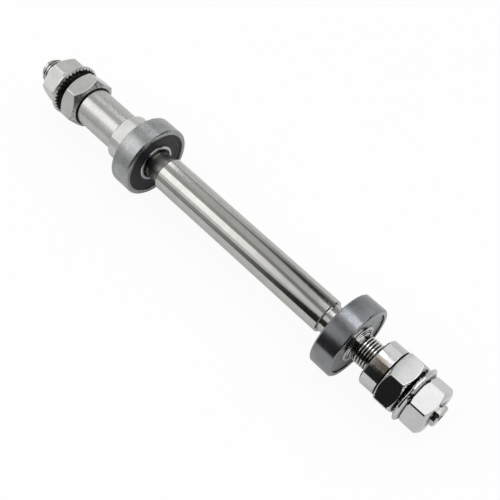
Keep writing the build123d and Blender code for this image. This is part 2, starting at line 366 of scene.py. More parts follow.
def axis_distance(tree):
    """How far a point of the piece lies from the axle's centre line, in metres."""
    place = add(tree, "ShaderNodeTexCoord")
    flat = add(tree, "ShaderNodeVectorMath", operation="MULTIPLY")
    flat.inputs[1].default_value = (1, 0, 1)
    length = add(tree, "ShaderNodeVectorMath", operation="LENGTH")
    tree.links.new(place.outputs["Object"], flat.inputs[0])
    tree.links.new(flat.outputs["Vector"], length.inputs[0])
    return length.outputs["Value"]


def lathe_marks(tree, spacing):
    """Height of fine turning marks: rings along a round side, circles on an end face.

    spacing is the distance between two marks.
    """
    place = add(tree, "ShaderNodeTexCoord")
    round_side = add(tree, "ShaderNodeTexWave", wave_type="BANDS", bands_direction="Y")
    end_face = add(tree, "ShaderNodeTexWave", wave_type="RINGS", rings_direction="Y")
    for wave in (round_side, end_face):
        wave.inputs["Scale"].default_value = WAVE_PERIOD / spacing
        wave.inputs["Distortion"].default_value = 1.5
        wave.inputs["Detail"].default_value = 2
        wave.inputs["Detail Scale"].default_value = 2
        tree.links.new(place.outputs["Object"], wave.inputs["Vector"])
    facing = add(tree, "ShaderNodeSeparateXYZ")
    tree.links.new(place.outputs["Normal"], facing.inputs["Vector"])
    size = arithmetic(tree, "ABSOLUTE", facing.outputs["Y"], 0)
    is_face = arithmetic(tree, "GREATER_THAN", size, END_FACING)
    pick = add(tree, "ShaderNodeMix", data_type="FLOAT")
    tree.links.new(is_face, pick.inputs["Factor"])
    tree.links.new(round_side.outputs["Fac"], pick.inputs["A"])
    tree.links.new(end_face.outputs["Fac"], pick.inputs["B"])
    return pick.outputs["Result"]


def metal(name, dark, light, roughness, marks=0.08, mottle=MOTTLE_SCALE):
    """Machined metal: mottled colour, a fine grain in the gloss, and turning marks.

    dark and light are the mottle's colours, and roughness holds the lowest and the highest
    value. marks is how strong the turning marks are, and mottle is a noise scale.
    """
    material, tree, shader = new_shader(name)
    shader.inputs["Metallic"].default_value = 1.0
    clouds = noise(tree, mottle, Detail=5.0, Roughness=0.6)
    colour = ramp(tree, clouds, [(0.35, dark), (0.65, light)])
    tree.links.new(colour, shader.inputs["Base Color"])
    specks = noise(tree, GRAIN_SCALE, Detail=3.0, Roughness=0.7)
    gloss = remap(tree, specks, NOISE_SPREAD, roughness)
    tree.links.new(gloss, shader.inputs["Roughness"])
    turning = bump(tree, lathe_marks(tree, METAL_MARK_SPACING), marks, MARK_DEPTH)
    grit = bump(tree, specks, marks / 3, GRIT_DEPTH)
    tree.links.new(turning.outputs["Normal"], grit.inputs["Normal"])
    tree.links.new(grit.outputs["Normal"], shader.inputs["Normal"])
    return material


def shaded_inward_metal(name, dark_to, bright_from, inner, outer):
    """Metal painted dark near the axis, as shade in hollows and joints, and bright further out.

    dark_to and bright_from are the radii between which it changes from inner to outer,
    its two colours.
    """
    material = metal(name, outer, outer, roughness=(0.08, 0.14), marks=0.05)
    tree = material.node_tree
    level = remap(tree, axis_distance(tree), (dark_to, bright_from))
    colour = ramp(tree, level, [(0.15, inner), (0.85, outer)])
    tree.links.new(colour, tree.nodes["Principled BSDF"].inputs["Base Color"])
    return material


def with_painted_shade(name, dark_radius, speck, body):
    """A copy of a metal, painted black as shade with specks of a given grey, out to an uneven
    radius.
    """
    material = body.copy()
    material.name = name
    tree = material.node_tree
    base_colour = tree.nodes["Principled BSDF"].inputs["Base Color"]
    unshaded = base_colour.links[0].from_socket
    waves = noise(tree, SHADE_EDGE_SCALE, Detail=2.0, Roughness=0.5)
    edge = remap(tree, waves, NOISE_SPREAD, (dark_radius - SHADE_EDGE_WAVE, dark_radius + SHADE_EDGE_WAVE))
    beyond = arithmetic(tree, "GREATER_THAN", axis_distance(tree), edge)
    specks = noise(tree, SPECK_SCALE, Detail=2.0, Roughness=0.5)
    # Black painted shade with grey specks, inside the uneven edge
    shade_specks = ramp(tree, specks, [(0.52, SHADE_BLACK), (0.66, (speck, speck, speck))])
    pick = add(tree, "ShaderNodeMix", data_type="RGBA")
    tree.links.new(beyond, pick.inputs["Factor"])
    tree.links.new(shade_specks, pick.inputs["A"])
    tree.links.new(unshaded, pick.inputs["B"])
    tree.links.new(pick.outputs["Result"], base_colour)
    return material


def rubber(name):
    """Black moulded rubber with a blue sheen, faint swirls and dust."""
    material, tree, shader = new_shader(name)
    shader.inputs["Roughness"].default_value = 0.42
    shader.inputs["Specular IOR Level"].default_value = 0.35
    dust = noise(tree, DUST_SCALE, Detail=6.0, Roughness=0.7)
    colour = ramp(tree, dust, [(0.35, (0.005, 0.006, 0.008)), (0.7, (0.014, 0.016, 0.021))])
    tree.links.new(colour, shader.inputs["Base Color"])
    swirls = bump(tree, lathe_marks(tree, RUBBER_MARK_SPACING), 0.25, MARK_DEPTH)
    tree.links.new(swirls.outputs["Normal"], shader.inputs["Normal"])
    return material


polished = metal(
    "polished_bar",
    dark=(0.44, 0.435, 0.415),
    light=(0.49, 0.485, 0.465),
    roughness=(0.08, 0.12),
    marks=0.06,
)
nickel = metal(
    "satin_nickel",
    dark=(0.52, 0.52, 0.505),
    light=(0.60, 0.60, 0.585),
    roughness=(0.28, 0.36),
)
brushed = metal(
    "brushed_nickel",
    dark=(0.45, 0.445, 0.43),
    light=(0.51, 0.505, 0.487),
    roughness=(0.22, 0.29),
)
chrome = metal(
    "bright_chrome",
    dark=(0.53, 0.53, 0.54),
    light=(0.58, 0.58, 0.58),
    roughness=(0.05, 0.10),
    marks=0.03,
)
ground = metal(
    "ground_steel",
    dark=(0.29, 0.295, 0.30),
    light=(0.375, 0.38, 0.385),
    roughness=(0.24, 0.34),
    marks=0.10,
)
dark_ground = metal(
    "dark_ground_steel",
    dark=(0.20, 0.205, 0.213),
    light=(0.25, 0.257, 0.268),
    roughness=(0.15, 0.22),
)
pressed = metal(
    "pressed_sheet",
    dark=(0.20, 0.205, 0.21),
    light=(0.30, 0.305, 0.31),
    roughness=(0.26, 0.34),
)
ball_finish = metal(
    "lapped_ball",
    dark=(0.54, 0.55, 0.56),
    light=(0.60, 0.61, 0.62),
    roughness=(0.04, 0.08),
    marks=0.01,
)
cage_finish = metal(
    "cage_strip",
    dark=(0.38, 0.37, 0.35),
    light=(0.48, 0.47, 0.44),
    roughness=(0.28, 0.40),
)
# Near-black painted shade, put on faces in gaps, grooves and joints between parts
shade_black = metal(
    "painted_shade_black",
    dark=(0.02, 0.02, 0.018),
    light=(0.08, 0.08, 0.075),
    roughness=(0.4, 0.6),
    mottle=1500.0,
)
# Mottled and marked, with dark tones that are painted shade and dark reflection on the drive
# locknut's cone
cone_shade = metal(
    "cone_painted_shade",
    dark=(0.22, 0.22, 0.22),
    light=(0.58, 0.58, 0.57),
    roughness=(0.30, 0.42),
    marks=0.3,
    mottle=1100.0,
)
# Darker than the bar: painted shade on the journal beside the drive bearing
journal_shade = metal(
    "journal_painted_shade",
    dark=(0.21, 0.207, 0.195),
    light=(0.27, 0.265, 0.25),
    roughness=(0.28, 0.36),
)
seal_rubber = rubber("seal_rubber")
# Dark roots: painted shade in the thread's grooves
threads = shaded_inward_metal(
    "cut_thread",
    THREAD_RADIUS - THREAD_DEPTH,
    THREAD_RADIUS,
    inner=(0.10, 0.10, 0.09),
    outer=(0.62, 0.62, 0.60),
)
# Dark inside WASHER_DARK_TO: painted shade where the washer meets its nut
washer_chrome = shaded_inward_metal(
    "washer_chrome",
    WASHER_DARK_TO,
    WASHER_BRIGHT_FROM,
    inner=(0.07, 0.07, 0.07),
    outer=(0.55, 0.55, 0.55),
)
# Black near the bore: painted shade and dark reflection on the inner rings' faces
race_face = shaded_inward_metal(
    "race_face",
    RACE_DARK_TO,
    RACE_BRIGHT_FROM,
    inner=(0.02, 0.02, 0.02),
    outer=(0.52, 0.53, 0.54),
)


def dress(node, material):
    """Give a CAD node that stays in view a new material."""
    slots = frame["nodes"][node].data.materials
    slots.clear()
    slots.append(material)


def thread_loops(start, end, tip):
    """The helical thread between two stations, as rows that follow its crest.

    The depth fades out at the journal, and the tip end has a flat face and a 45 degree
    chamfer. tip is the station of that face. Rows that would lie beyond the thread's ends
    are pressed flat against them.
    """
    journal = end if abs(tip - start) < abs(tip - end) else start
    # Two turns more, so that the rows cover both ends at every angle
    turns = math.ceil((end - start) / THREAD_PITCH) + 2
    rows = []
    for turn in range(turns):
        for phase, height in zip(THREAD_PHASES, THREAD_HEIGHTS):
            row = []
            for index in range(SIDES):
                share = index / SIDES
                angle = 2 * math.pi * share
                station = start + (turn + phase - 1 + share) * THREAD_PITCH
                station = min(max(station, start), end)
                fade = min(abs(station - journal) / THREAD_FADE, 1)
                radius = THREAD_RADIUS - (1 - height) * THREAD_DEPTH * fade
                inset = abs(tip - station)
                radius = min(radius, THREAD_RADIUS - THREAD_END_CHAMFER + inset)
                if inset < THREAD_END_FACE:
                    radius = TIP_RADIUS
                row.append((radius * math.cos(angle), station, -radius * math.sin(angle)))
            rows.append(row)
    return rows


def thread_faces(rows, first):
    """Faces between helical rows, whose points are numbered from first on.

    A row's end meets the start of the row one turn further on.
    """
    per_turn = len(THREAD_PHASES)
    faces = []
    for row in range(len(rows) - 1):
        for index in range(SIDES):
            if index < SIDES - 1:
                after = (row, index + 1)
                across = (row + 1, index + 1)
            else:
                after = (row + per_turn, 0)
                across = (row + per_turn + 1, 0)
            if across[0] >= len(rows):
                continue
            corners = ((row, index), after, across, (row + 1, index))
            faces.append([first + r * SIDES + i for r, i in corners])
    return faces


def axle():
    """The bar with its journals, chamfers, centre holes and both helical threads.

    The journal between the drive bearing and the thick middle is painted darker, as shade beside
    the bearing.
    """
    low, high = span("axle_shaft")
    journal_start = span("drive_bearing_inner_ring")[0]
    journal_end = span("non_drive_bearing_inner_ring")[1]
    bar_start = span("drive_bearing_inner_ring")[1] + DRIVE_SHOULDER_GAP
    bar_end = span("non_drive_bearing_inner_ring")[0] - OTHER_SHOULDER_GAP
    ends = []
    for out, tip in ((DRIVE_OUT, low), (OTHER_OUT, high)):
        ends.append(
            [
                (0, tip - out * CENTRE_DEPTH),
                (CENTRE_DRILL, tip - out * CENTRE_DEPTH),
                (CENTRE_DRILL, tip - out * CENTRE_CONE_DEPTH),
                (CENTRE_MOUTH, tip),
                (TIP_RADIUS - TIP_CHAMFER, tip),
                (TIP_RADIUS, tip - out * TIP_CHAMFER),
                (TIP_RADIUS, tip - out * TIP_LENGTH),
            ]
        )
    middle = [
        (THREAD_RADIUS, journal_start),
        (JOURNAL_RADIUS - JOURNAL_CHAMFER, journal_start),
        (JOURNAL_RADIUS, journal_start + JOURNAL_CHAMFER),
        (JOURNAL_RADIUS, bar_start),
        (BAR_RADIUS - BAR_CHAMFER, bar_start),
        (BAR_RADIUS, bar_start + BAR_CHAMFER),
        (BAR_RADIUS, bar_end - BAR_CHAMFER),
        (BAR_RADIUS - BAR_CHAMFER, bar_end),
        (JOURNAL_RADIUS, bar_end),
        (JOURNAL_RADIUS, journal_end - JOURNAL_CHAMFER),
        (JOURNAL_RADIUS - JOURNAL_CHAMFER, journal_end),
        (THREAD_RADIUS, journal_end),
    ]
    points = []
    faces = []
    for profile in (ends[0], middle, ends[1]):
        more, quads = skin([circle(r, y, SIDES) for r, y in profile], closed=False)
        faces += [[len(points) + index for index in quad] for quad in quads]
        points += more
    drive_tip = low + TIP_LENGTH
    other_tip = high - TIP_LENGTH
    for start, end, tip in (
        (drive_tip, journal_start, drive_tip),
        (journal_end, other_tip, other_tip),
    ):
        rows = thread_loops(start, end, tip)
        faces += thread_faces(rows, len(points))
        points += [point for row in rows for point in row]
    piece = make_piece("axle_shaft", points, faces, polished, edge=0)
    piece.data.materials.append(threads)
    piece.data.materials.append(journal_shade)
    # Threads get their painted root shade, and the drive journal its darker painted shade
    for polygon in piece.data.polygons:
        station = polygon.center.y
        if drive_tip < station < journal_start or journal_end < station < other_tip:
            polygon.material_index = 1
        elif journal_start < station < bar_start:
            polygon.material_index = 2


def hexagon_outline(half_flats):
    """A hexagon with rounded corners as (angle, distance) pairs; one corner is at angle 0."""
    sector = math.pi / 3
    corner_centre = (half_flats - CORNER_ROUNDING) / math.cos(sector / 2)
    flat_end = math.atan((half_flats - CORNER_ROUNDING) * math.tan(sector / 2) / half_flats)
    pairs = []
    for side in range(6):
        middle = side * sector + sector / 2
        for step in range(FLAT_STEPS + 1):
            offset = flat_end * (2 * step / FLAT_STEPS - 1)
            pairs.append((middle + offset, half_flats / math.cos(offset)))
        for step in range(1, CORNER_STEPS):
            offset = (sector / 2 - flat_end) * (2 * step / CORNER_STEPS - 1)
            sideways = corner_centre * math.sin(offset)
            reach = corner_centre * math.cos(offset) + math.sqrt(CORNER_ROUNDING**2 - sideways**2)
            pairs.append((middle + sector / 2 + offset, reach))
    return pairs


def hexagon_loop(pairs, turn, place):
    """A loop over an outline's angles, where place gives the radius and the station."""
    loop = []
    for angle, reach in pairs:
        radius, station = place(reach)
        way = angle + math.radians(turn)
        loop.append((radius * math.cos(way), station, radius * math.sin(way)))
    return loop


def round_loop(pairs, turn, radius, station):
    """A round loop with its points at an outline's angles."""
    return hexagon_loop(pairs, turn, lambda reach: (radius, station))


def hexagon_nut(half_flats, start, end, start_face, turn, bore_start):
    """Loops round a hexagon nut whose corners fall away in cones at both faces.

    start_face is the radius of the flat face left at start. The threaded hole runs back
    from end to bore_start.
    """
    out = math.copysign(1, end - start)
    end_face = half_flats - FACE_RELIEF
    pairs = hexagon_outline(half_flats)

    def rising(reach):
        """The first cone, between the face at start and the sides."""
        return reach, start + out * max(reach - start_face, 0) * HEXAGON_SLOPE

    def falling(reach):
        """The other cone, between the sides and the face at end."""
        return reach, end - out * max(reach - end_face, 0) * HEXAGON_SLOPE

    mouth = NUT_BORE + THREAD_ENTRY
    return [
        round_loop(pairs, turn, start_face, start),
        hexagon_loop(pairs, turn, rising),
        hexagon_loop(pairs, turn, falling),
        round_loop(pairs, turn, end_face, end),
        round_loop(pairs, turn, mouth, end),
        round_loop(pairs, turn, NUT_BORE, end - out * THREAD_ENTRY),
        round_loop(pairs, turn, NUT_BORE, bore_start + out * THREAD_ENTRY),
        round_loop(pairs, turn, mouth, bore_start),
    ]


def locknut(side, out, inner_relief, material, cone_material):
    """A thin hexagon nut; inner_relief is how far its face to the wheel falls short.

    That face is painted black, as shade in the joint with the part beside it, and the cone round
    it has a material of its own.
    """
    node = f"{side}_locknut"
    low, high = span(node)
    inner, outer = (low, high) if out > 0 else (high, low)
    face = LOCKNUT_HALF_FLATS - inner_relief
    loops = hexagon_nut(LOCKNUT_HALF_FLATS, inner, outer, face, NUT_TURN[node], inner)
    points, faces = skin(loops, closed=True)
    piece = make_piece(node, points, faces, material, NUT_EDGE)
    piece.data.materials.append(cone_material)
    piece.data.materials.append(shade_black)
    # Painted shade: the face to the wheel is black, and the cone round it takes cone_material
    for polygon in piece.data.polygons:
        to_wheel = -polygon.normal.y * out
        if to_wheel > FLAT_FACING:
            polygon.material_index = 2
        elif to_wheel > CONE_FACING:
            polygon.material_index = 1


def track_nut(side, out, material):
    """A hexagon nut with the collar that passes through the washer and is swaged out.

    The collar is painted black, as shade inside the washer.
    """
    node = f"{side}_track_nut"
    low, high = span(f"{side}_toothed_washer")
    face = low if out > 0 else high
    low, high = span(node)
    end = high if out > 0 else low
    turn = NUT_TURN[node]
    seat = face + out * HEXAGON_SEAT
    swage = face + out * SWAGE_PLACE
    lip = swage - out * SWAGE_HEIGHT
    loops = hexagon_nut(TRACK_NUT_HALF_FLATS, seat, end, WASHER_TOP, turn, lip)
    pairs = hexagon_outline(TRACK_NUT_HALF_FLATS)
    loops.append(round_loop(pairs, turn, COLLAR_RADIUS + SWAGE_WIDTH, lip))
    loops.append(round_loop(pairs, turn, COLLAR_RADIUS, swage))
    loops.append(round_loop(pairs, turn, COLLAR_RADIUS, seat))
    points, faces = skin(loops, closed=True)
    piece = make_piece(node, points, faces, material, NUT_EDGE)
    piece.data.materials.append(shade_black)
    # The collar gets the black painted shade
    for polygon in piece.data.polygons:
        radius = math.hypot(polygon.center.x, polygon.center.z)
        if radius < COLLAR_RADIUS + SWAGE_WIDTH and (polygon.center.y - seat) * out < 0:
            polygon.material_index = 1


def turned_loop(loop, degrees):
    """A loop turned about the axle, from +X towards +Z."""
    cosine = math.cos(math.radians(degrees))
    sine = math.sin(math.radians(degrees))
    return [(x * cosine - z * sine, y, x * sine + z * cosine) for x, y, z in loop]


def toothed_washer(side, out, material, grip_material, dark_reach):
    """A washer with V gaps between radial teeth, which run out on the rim's bevel.

    The gaps are painted black as far out as dark_reach, as shade between the teeth and the nut
    beside them. Beyond it they have the material of the gripping side.
    """
    node = f"{side}_toothed_washer"
    low, high = span(node)
    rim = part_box(node)[1].x
    face = low if out > 0 else high
    gap_half = TOOTH_INNER * math.tan(math.pi / TOOTH_COUNT)

    def surface(radius):
        """How far the gripping side lies behind the tooth tips at a radius."""
        return max(radius - TOOTH_OUTER, 0) / (rim - TOOTH_OUTER) * BEVEL_HEIGHT

    def toothed_loop(radius, inset, depth):
        """A loop set back by inset, and by depth in the middle of each gap if that is more."""
        loop = []
        half_sector = math.pi / TOOTH_COUNT
        gap_edge = min(math.asin(gap_half / radius), half_sector)
        for tooth in range(TOOTH_COUNT):
            middle = 2 * half_sector * tooth
            for offset, share in (
                (-half_sector, 0),
                (-gap_edge, 0),
                (-gap_edge / 2, 0.5),
                (0, 1),
                (gap_edge / 2, 0.5),
                (gap_edge, 0),
            ):
                angle = middle + offset
                y = face + out * max(inset, depth * share)
                loop.append((radius * math.cos(angle), y, radius * math.sin(angle)))
        return loop

    run_out = TOOTH_OUTER + (rim - TOOTH_OUTER) * TOOTH_DEPTH / BEVEL_HEIGHT
    half_way = (TOOTH_OUTER + run_out) / 2
    loops = [
        toothed_loop(WASHER_BORE, WASHER_HEIGHT, 0),
        toothed_loop(WASHER_BORE, RECESS_DEPTH, 0),
        toothed_loop(WASHER_RECESS, RECESS_DEPTH, 0),
        toothed_loop(WASHER_RECESS, 0, 0),
        toothed_loop(TOOTH_INNER - JUST_INSIDE, 0, 0),
        toothed_loop(TOOTH_INNER + JUST_INSIDE, 0, TOOTH_DEPTH),
        toothed_loop(TOOTH_OUTER, 0, TOOTH_DEPTH),
        toothed_loop(half_way, surface(half_way), TOOTH_DEPTH),
        toothed_loop(run_out, surface(run_out), TOOTH_DEPTH),
        toothed_loop(rim, BEVEL_HEIGHT, 0),
        toothed_loop(rim, WASHER_RIM, 0),
        toothed_loop(WASHER_TOP, WASHER_HEIGHT, 0),
    ]
    points, faces = skin(loops, closed=True)
    piece = make_piece(node, points, faces, material, FINE_EDGE)
    piece.data.materials.append(shade_black)
    piece.data.materials.append(grip_material)
    # Painted shade: gaps inside dark_reach are black, the rest takes the gripping side's material
    for polygon in piece.data.polygons:
        radius = math.hypot(polygon.center.x, polygon.center.z)
        inset = (polygon.center.y - face) * out
        in_gap = surface(radius) + JUST_INSIDE < inset < TOOTH_DEPTH + JUST_INSIDE
        on_grip = inset < surface(radius) + JUST_INSIDE
        if in_gap and radius < dark_reach:
            polygon.material_index = 1
        elif in_gap or on_grip:
            polygon.material_index = 2


def sleeve():
    """The plain spacer between the drive bearing's nut and the drive locknut."""
    node = "drive_spacer_sleeve"
    start, end = span(node)
    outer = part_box(node)[1].x
    profile = [
        (NUT_BORE, start),
        (outer - SLEEVE_CHAMFER, start),
        (outer, start + SLEEVE_CHAMFER),
        (outer, end - SLEEVE_CHAMFER),
        (outer - SLEEVE_CHAMFER, end),
        (NUT_BORE, end),
    ]
    turned(node, profile, brushed)


def end_nut():
    """The round nut between the other bearing and its locknut, painted black where it meets that,
    as shade in the groove between them.
    """
    node = "non_drive_end_nut"
    start, end = span(node)
    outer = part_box(node)[1].x
    profile = [
        (NUT_BORE, start + THREAD_ENTRY),
        (NUT_BORE + THREAD_ENTRY, start),
        (outer - ROUND_CHAMFER, start),
        (outer, start + ROUND_CHAMFER),
        (outer, end - ROUND_CHAMFER),
        (outer - ROUND_CHAMFER, end),
        (NUT_BORE + THREAD_ENTRY, end),
        (NUT_BORE, end - THREAD_ENTRY),
    ]
    piece = turned(node, profile, chrome)
    piece.data.materials.append(shade_black)
    # Faces towards the locknut get the black painted shade of the groove
    for polygon in piece.data.polygons:
        if polygon.normal.y > CHAMFER_FACING:
            polygon.material_index = 1


def bearing_nut():
    """The round nut of the drive side with two flats for a thin spanner."""
    node = "drive_bearing_nut"
    start, end = span(node)
    outer = BEARING_NUT_RADIUS
    quarter = SIDES // 4

    def flatted_loop(radius, station):
        """A round loop cut off by the two flats."""
        corner = math.acos(BEARING_NUT_HALF_FLATS / radius)
        half_width = BEARING_NUT_HALF_FLATS * math.tan(corner)
        loop = []
        for facing in (1, -1):
            for step in range(quarter):
                offset = half_width * (2 * step / quarter - 1)
                loop.append((facing * BEARING_NUT_HALF_FLATS, station, facing * offset))
            for step in range(quarter):
                angle = corner + (math.pi - 2 * corner) * step / quarter
                x = facing * radius * math.cos(angle)
                loop.append((x, station, facing * radius * math.sin(angle)))
        return turned_loop(loop, BEARING_NUT_TURN)

    loops = [
        flatted_loop(outer - ROUND_CHAMFER, start),
        flatted_loop(outer, start + ROUND_CHAMFER),
        flatted_loop(outer, end - ROUND_CHAMFER),
        flatted_loop(outer - ROUND_CHAMFER, end),
    ]
    first_angle = math.degrees(math.acos(BEARING_NUT_HALF_FLATS / outer))
    for radius, station in (
        (NUT_BORE + THREAD_ENTRY, end),
        (NUT_BORE, end - THREAD_ENTRY),
        (NUT_BORE, start + THREAD_ENTRY),
        (NUT_BORE + THREAD_ENTRY, start),
    ):
        bore = circle(radius, station, 4 * quarter)
        loops.append(turned_loop(bore, BEARING_NUT_TURN - first_angle))
    points, faces = skin(loops, closed=True)
    make_piece(node, points, faces, nickel)


def arc(land, bottom, steps=8):
    """Half a ball groove's section as (radius, offset) points, from the land to the bottom."""
    inward = math.copysign(1, land - bottom)
    centre = bottom + inward * GROOVE_RADIUS
    reach = math.acos((centre - land) * inward / GROOVE_RADIUS)
    points = []
    for step in range(steps + 1):
        angle = reach * (1 - step / steps)
        radius = centre - inward * GROOVE_RADIUS * math.cos(angle)
        points.append((radius, GROOVE_RADIUS * math.sin(angle)))
    return points


def mirrored(half, middle):
    """A ring's whole profile from its half, given as (radius, distance from the middle)."""
    near = [(radius, middle + offset) for radius, offset in half]
    far = [(radius, middle - offset) for radius, offset in reversed(half)]
    return near + [point for point in far if point not in near]


def seal_section(back):
    """A rubber seal's section as (radius, distance from the bearing's middle)."""
    front = back + SEAL_THICKNESS
    raised = front + COVER_STEP
    lip = LIP_LAND + LIP_CLEARANCE
    lip_root = lip + SEAL_LIP_WIDTH
    return [
        (SNAP_RADIUS - COVER_PLAY, back),
        (SNAP_RADIUS - COVER_PLAY, front - COVER_STEP),
        (RECESS_RADIUS - COVER_PLAY, raised),
        (OUTER_LAND + COVER_STEP, raised),
        (OUTER_LAND, front),
        (SEAL_RIB_OUTSIDE, front),
        (SEAL_RIB_OUTSIDE - SEAL_RIB_SLOPE, front + SEAL_RIB_HEIGHT),
        (SEAL_RIB_INSIDE + SEAL_RIB_SLOPE, front + SEAL_RIB_HEIGHT),
        (SEAL_RIB_INSIDE, front),
        (lip_root + COVER_STEP, front),
        (lip_root, raised),
        (lip, raised),
        (lip, front - COVER_STEP),
        (lip_root, back),
    ]


def shield_section(back):
    """A pressed shield's section as (radius, distance from the bearing's middle)."""
    front = back + SHIELD_THICKNESS
    lip = LIP_LAND + LIP_CLEARANCE
    step_top = RECESS_RADIUS - COVER_STEP
    return [
        (SNAP_RADIUS - COVER_PLAY, back),
        (SNAP_RADIUS - COVER_PLAY, front),
        (step_top, front + COVER_STEP),
        (OUTER_LAND, front + COVER_STEP),
        (OUTER_LAND - SHIELD_SLOPE, front),
        (lip, front),
        (lip, back),
        (OUTER_LAND - SHIELD_SLOPE + COVER_STEP, back),
        (OUTER_LAND + COVER_STEP, back + COVER_STEP),
        (step_top - COVER_STEP, back + COVER_STEP),
        (step_top, back),
    ]


def bearing(prefix, closure, out, ring_material, cover_material):
    """A ball bearing with seals or shields, from its outer ring's place in the frame."""
    start, end = span(f"{prefix}_outer_ring")
    ring_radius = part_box(f"{prefix}_outer_ring")[1].x
    middle = (start + end) / 2
    half_width = (end - start) / 2
    seat = half_width - SEAL_DEPTH
    outer_half = [
        (ring_radius, 0),
        (ring_radius, half_width - RING_CHAMFER),
        (ring_radius - RING_CHAMFER, half_width),
        (RECESS_RADIUS + MOUTH_BEVEL, half_width),
        (RECESS_RADIUS, half_width - MOUTH_BEVEL),
        (RECESS_RADIUS, half_width - 2 * MOUTH_BEVEL),
        (SNAP_RADIUS, half_width - 2 * MOUTH_BEVEL - (SNAP_RADIUS - RECESS_RADIUS)),
        (SNAP_RADIUS, seat),
        (OUTER_LAND, seat),
    ]
    outer_half += arc(OUTER_LAND, BALL_CIRCLE + BALL_RADIUS + BALL_PLAY)
    turned(f"{prefix}_outer_ring", mirrored(outer_half, middle), ring_material, RING_EDGE)
    shoulder = seat - 2 * LIP_CLEARANCE
    inner_half = [
        (JOURNAL_RADIUS, 0),
        (JOURNAL_RADIUS, half_width - BORE_CHAMFER),
        (JOURNAL_RADIUS + BORE_CHAMFER, half_width),
        (LIP_LAND - MOUTH_BEVEL, half_width),
        (LIP_LAND, half_width - MOUTH_BEVEL),
        (LIP_LAND, shoulder),
        (INNER_LAND, shoulder),
    ]
    inner_half += arc(INNER_LAND, BALL_CIRCLE - BALL_RADIUS - BALL_PLAY)
    turned(f"{prefix}_inner_ring", mirrored(inner_half, middle), race_face)
    back = seat + COVER_PLAY
    section = seal_section(back) if closure == "seal" else shield_section(back)
    for side, way in (("outboard", out), ("inboard", -out)):
        profile = [(radius, middle + way * offset) for radius, offset in section]
        turned(f"{prefix}_{side}_{closure}", profile, cover_material, FINE_EDGE)
        dress(f"{prefix}_{side}_cage_half", cage_finish)
    dress(f"{prefix}_balls", ball_finish)
    dress(f"{prefix}_cage_rivets", cage_finish)


FLOOR_SIZE = 6.0
FLOOR_GREY = (0.8, 0.8, 0.8, 1)
GLOW_SEEN = 0.93
GLOW_REFLECTED = 0.15


def lay_floor():
    """A floor under the bearings that takes the axle's shadow.

    It glows, so that it is nearly white to the camera and faint in the metal.
    """
    mesh = bpy.data.meshes.new("floor")
    corner = FLOOR_SIZE / 2
    mesh.from_pydata(
        [(-corner, -corner, 0), (corner, -corner, 0), (corner, corner, 0), (-corner, corner, 0)],
        [],
        [(0, 1, 2, 3)],
    )
    floor = bpy.data.objects.new("floor", mesh)
    floor.location.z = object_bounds()[0].z
    scene.collection.objects.link(floor)
    material, tree, shader = new_shader("pale_floor")
    shader.inputs["Base Color"].default_value = FLOOR_GREY
    shader.inputs["Roughness"].default_value = 0.9
    glow = add(tree, "ShaderNodeEmission", Strength=1.0)
    path = add(tree, "ShaderNodeLightPath")
    seen = arithmetic(tree, "MULTIPLY", path.outputs["Is Camera Ray"], GLOW_SEEN)
    reflected = arithmetic(tree, "MULTIPLY", path.outputs["Is Glossy Ray"], GLOW_REFLECTED)
    blend = add(tree, "ShaderNodeMixShader")
    tree.links.new(arithmetic(tree, "MAXIMUM", seen, reflected), blend.inputs["Fac"])
    tree.links.new(shader.outputs["BSDF"], blend.inputs[1])
    tree.links.new(glow.outputs["Emission"], blend.inputs[2])
    tree.links.new(blend.outputs["Shader"], tree.nodes["Material Output"].inputs["Surface"])
    mesh.materials.append(material)


# Studio: flat panels of light and grey round the axle, before a dark room. A panel's edges
# are angles round the axle in degrees, from +X over +Z. Edges and light levels are given
# before and after their taper along the axle. Reach is a panel's extent along the axle, as
# the Y of a direction.
#
# In the photograph's view the axle's sides mirror directions whose Y runs from -0.62 at the
# drive end to -0.09 at the other: up to NEAR_END the drive side, the bar and half of the
# other bearing, up to THREAD_END the rest of it and the thread, up to NUT_END the round end
# nut, and up to EDGE_START the hexagons and the tip. Rounded edges, cones and end faces
# mirror what lies beyond.
ROOM_GREY = 0.02
EDGE_TAPER = (-0.35, -0.25)
LEVEL_TAPER = (-0.42, -0.30)
NEAR_END = -0.236
FAR_END = -0.197
THREAD_END = -0.187
NUT_END = -0.162
EDGE_START = -0.05
EDGE_END = 0.55
EDGE_SOFTNESS = 2.0
END_SOFTNESS = 0.003
NEUTRAL = (1.0, 1.0, 1.0)
COOL = (0.95, 1.0, 1.05)
WARM = (1.27, 1.0, 0.70)
